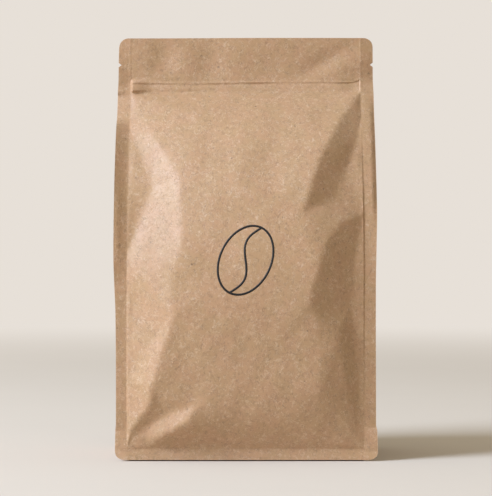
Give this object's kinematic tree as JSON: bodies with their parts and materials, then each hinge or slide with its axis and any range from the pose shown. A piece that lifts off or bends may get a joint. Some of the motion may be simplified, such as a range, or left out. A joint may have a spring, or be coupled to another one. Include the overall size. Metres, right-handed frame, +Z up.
{
  "type": "coffee bag",
  "caption": "Filled flat-bottomed kraft paper coffee bag with sealed side fins, tucked side gussets, tear notches and a press zipper line under its flat top seal.",
  "frame": {"origin": "middle of the base, on the surface that the bag stands on", "axes": "+Z up through the top seal, -Y out of the front sheet, +X to the right as the front is seen"},
  "size_m": [0.129, 0.0936, 0.21],
  "materials": {
    "kraft_paper": "matt brown kraft paper, fibrous, unprinted"
  },
  "bodies": {
    "root": {"pouch": "kraft_paper"}
  },
  "joints": []
}
